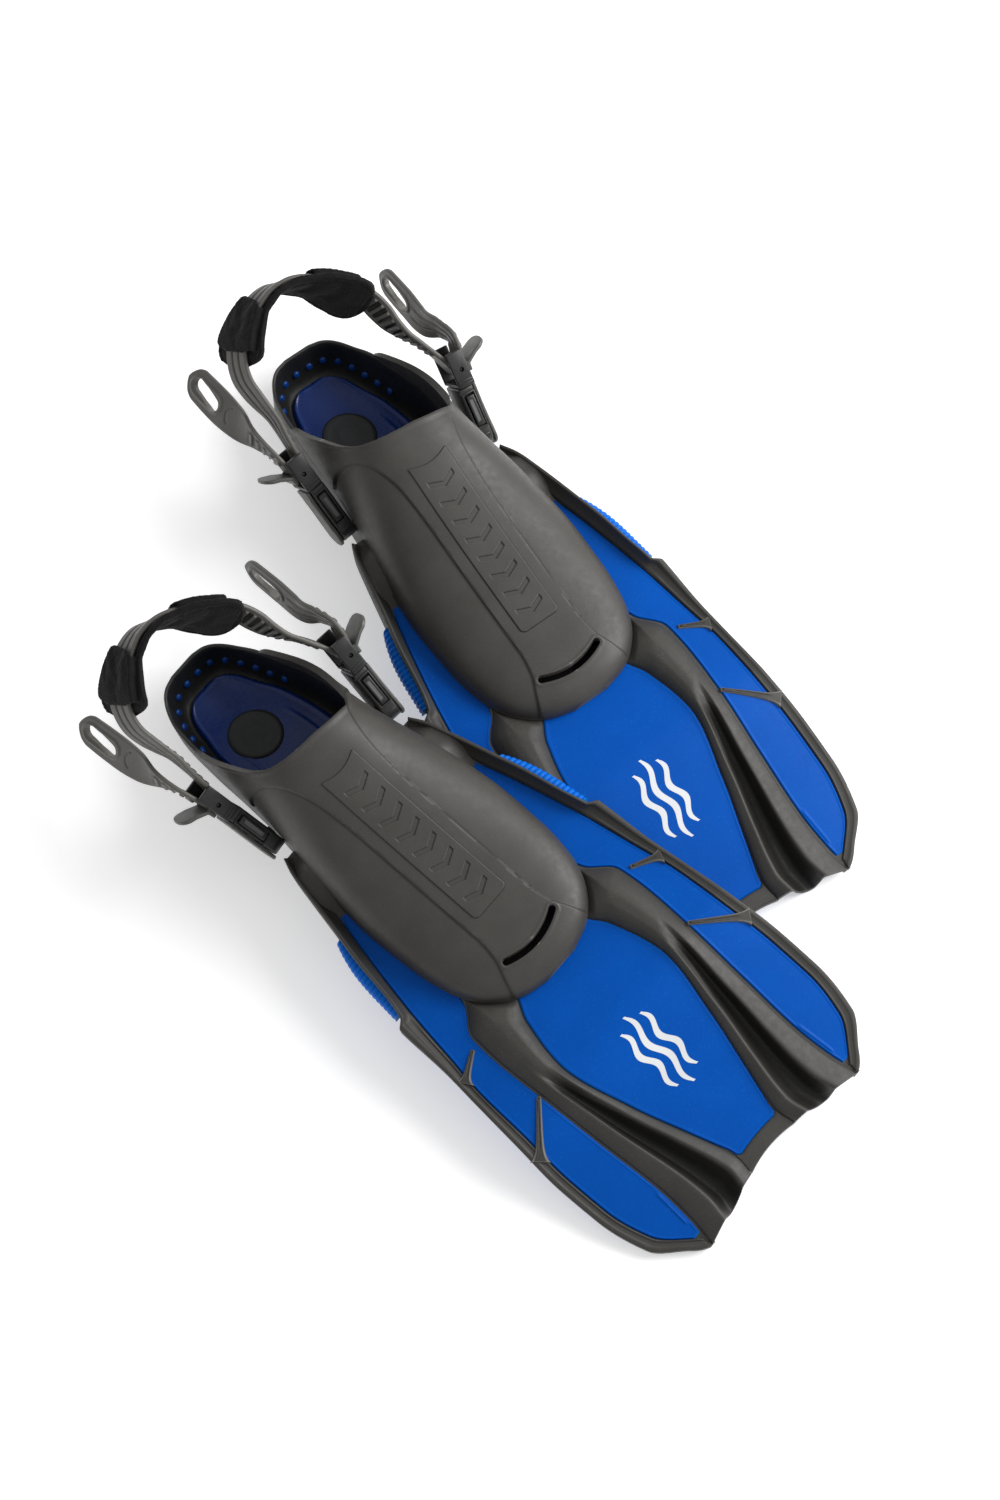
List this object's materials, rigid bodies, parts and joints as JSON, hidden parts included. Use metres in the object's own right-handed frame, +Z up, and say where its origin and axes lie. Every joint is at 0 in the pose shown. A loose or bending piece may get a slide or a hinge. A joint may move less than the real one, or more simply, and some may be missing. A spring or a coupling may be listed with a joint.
{
  "type": "pair of swim fins",
  "caption": "Pair of open-heel snorkelling fins with foot pockets, channelled blades and quick-release heel straps on sprung buckles.",
  "frame": {"origin": "centre of the pair's box, on the floor the fins lie on", "axes": "+Z up from the floor; the right fin points its tip along -Y, and the left fin lies to -X, turned 12.5 degrees outwards, its inner side on the right fin's rail"},
  "size_m": [0.405, 0.6928, 0.1604],
  "materials": {
    "pocket": "satin",
    "sole": "satin",
    "blade_frame": "satin",
    "blade_panel": "satin",
    "grip": "satin",
    "insole": "satin",
    "strap": "satin",
    "heel_pad": "matt",
    "buckle": "satin",
    "buckle_trim": "satin",
    "pin": "brushed"
  },
  "bodies": {
    "left_fin": {"left_center_panel": "blade_panel", "left_foot_pocket": "pocket", "left_heel_plate": "sole", "left_inner_channel": "blade_frame", "left_inner_edge_rail": "blade_frame", "left_inner_grip_strip": "grip", "left_inner_side_panel": "blade_panel", "left_inner_strap_post": "blade_frame", "left_insole": "insole", "left_outer_channel": "blade_frame", "left_outer_edge_rail": "blade_frame", "left_outer_grip_strip": "grip", "left_outer_side_panel": "blade_panel", "left_outer_strap_post": "blade_frame"},
    "left_strap": {"left_heel_pad": "heel_pad", "left_inner_buckle_frame": "buckle", "left_inner_buckle_socket": "buckle", "left_inner_lever_pin": "pin", "left_inner_socket_cover": "buckle_trim", "left_outer_buckle_frame": "buckle", "left_outer_buckle_socket": "buckle", "left_outer_lever_pin": "pin", "left_outer_socket_cover": "buckle_trim", "left_strap": "strap"},
    "left_inner_lower_button": {"left_inner_lower_release_button": "buckle"},
    "left_inner_lever": {"left_inner_tension_lever": "buckle_trim"},
    "left_inner_upper_button": {"left_inner_upper_release_button": "buckle"},
    "left_outer_lower_button": {"left_outer_lower_release_button": "buckle"},
    "left_outer_lever": {"left_outer_tension_lever": "buckle_trim"},
    "left_outer_upper_button": {"left_outer_upper_release_button": "buckle"},
    "right_fin": {"right_center_panel": "blade_panel", "right_foot_pocket": "pocket", "right_heel_plate": "sole", "right_inner_channel": "blade_frame", "right_inner_edge_rail": "blade_frame", "right_inner_grip_strip": "grip", "right_inner_side_panel": "blade_panel", "right_inner_strap_post": "blade_frame", "right_insole": "insole", "right_outer_channel": "blade_frame", "right_outer_edge_rail": "blade_frame", "right_outer_grip_strip": "grip", "right_outer_side_panel": "blade_panel", "right_outer_strap_post": "blade_frame"},
    "right_strap": {"right_heel_pad": "heel_pad", "right_inner_buckle_frame": "buckle", "right_inner_buckle_socket": "buckle", "right_inner_lever_pin": "pin", "right_inner_socket_cover": "buckle_trim", "right_outer_buckle_frame": "buckle", "right_outer_buckle_socket": "buckle", "right_outer_lever_pin": "pin", "right_outer_socket_cover": "buckle_trim", "right_strap": "strap"},
    "right_inner_lower_button": {"right_inner_lower_release_button": "buckle"},
    "right_inner_lever": {"right_inner_tension_lever": "buckle_trim"},
    "right_inner_upper_button": {"right_inner_upper_release_button": "buckle"},
    "right_outer_lower_button": {"right_outer_lower_release_button": "buckle"},
    "right_outer_lever": {"right_outer_tension_lever": "buckle_trim"},
    "right_outer_upper_button": {"right_outer_upper_release_button": "buckle"}
  },
  "joints": [
    {"name": "left_fin_lift", "type": "slide", "parent": "right_fin", "child": "left_fin", "axis": [0, 0, 1], "range_m": [0, 0.3]},
    {"name": "right_strap_swing", "type": "hinge", "parent": "right_fin", "child": "right_strap", "pos_m": [0.091, 0.2043, 0.04], "axis": [1, 0, 0], "range_deg": [-2, 50]},
    {"name": "right_outer_lever_turn", "type": "hinge", "parent": "right_strap", "child": "right_outer_lever", "pos_m": [0.15733, 0.24062, 0.06787], "axis": [0, 0.6088, -0.7934], "range_deg": [0, 35], "stiffness_Nm_per_rad": 0.02, "springref_deg": -17.19},
    {"name": "right_outer_upper_button_press", "type": "slide", "parent": "right_strap", "child": "right_outer_upper_button", "axis": [0, 0.6088, -0.7934], "range_m": [0, 0.0024], "stiffness_N_per_m": 400},
    {"name": "right_outer_lower_button_press", "type": "slide", "parent": "right_strap", "child": "right_outer_lower_button", "axis": [0, -0.6088, 0.7934], "range_m": [0, 0.0024], "stiffness_N_per_m": 400},
    {"name": "right_inner_lever_turn", "type": "hinge", "parent": "right_strap", "child": "right_inner_lever", "pos_m": [0.02467, 0.24062, 0.06787], "axis": [0, -0.6088, 0.7934], "range_deg": [0, 35], "stiffness_Nm_per_rad": 0.02, "springref_deg": -17.19},
    {"name": "right_inner_upper_button_press", "type": "slide", "parent": "right_strap", "child": "right_inner_upper_button", "axis": [0, 0.6088, -0.7934], "range_m": [0, 0.0024], "stiffness_N_per_m": 400},
    {"name": "right_inner_lower_button_press", "type": "slide", "parent": "right_strap", "child": "right_inner_lower_button", "axis": [0, -0.6088, 0.7934], "range_m": [0, 0.0024], "stiffness_N_per_m": 400},
    {"name": "left_strap_swing", "type": "hinge", "parent": "left_fin", "child": "left_strap", "pos_m": [-0.08408, 0.05943, 0.04873], "axis": [0.967, 0.2134, 0.1392], "range_deg": [-2, 50]},
    {"name": "left_outer_lever_turn", "type": "hinge", "parent": "left_strap", "child": "left_outer_lever", "pos_m": [-0.15983, 0.0797, 0.06735], "axis": [0.0252, -0.6236, 0.7814], "range_deg": [0, 35], "stiffness_Nm_per_rad": 0.02, "springref_deg": -17.19},
    {"name": "left_outer_upper_button_press", "type": "slide", "parent": "left_strap", "child": "left_outer_upper_button", "axis": [-0.0252, 0.6236, -0.7814], "range_m": [0, 0.0024], "stiffness_N_per_m": 400},
    {"name": "left_outer_lower_button_press", "type": "slide", "parent": "left_strap", "child": "left_outer_lower_button", "axis": [0.0252, -0.6236, 0.7814], "range_m": [0, 0.0024], "stiffness_N_per_m": 400},
    {"name": "left_inner_lever_turn", "type": "hinge", "parent": "left_strap", "child": "left_inner_lever", "pos_m": [-0.03154, 0.10801, 0.08581], "axis": [-0.0252, 0.6236, -0.7814], "range_deg": [0, 35], "stiffness_Nm_per_rad": 0.02, "springref_deg": -17.19},
    {"name": "left_inner_upper_button_press", "type": "slide", "parent": "left_strap", "child": "left_inner_upper_button", "axis": [-0.0252, 0.6236, -0.7814], "range_m": [0, 0.0024], "stiffness_N_per_m": 400},
    {"name": "left_inner_lower_button_press", "type": "slide", "parent": "left_strap", "child": "left_inner_lower_button", "axis": [0.0252, -0.6236, 0.7814], "range_m": [0, 0.0024], "stiffness_N_per_m": 400}
  ]
}
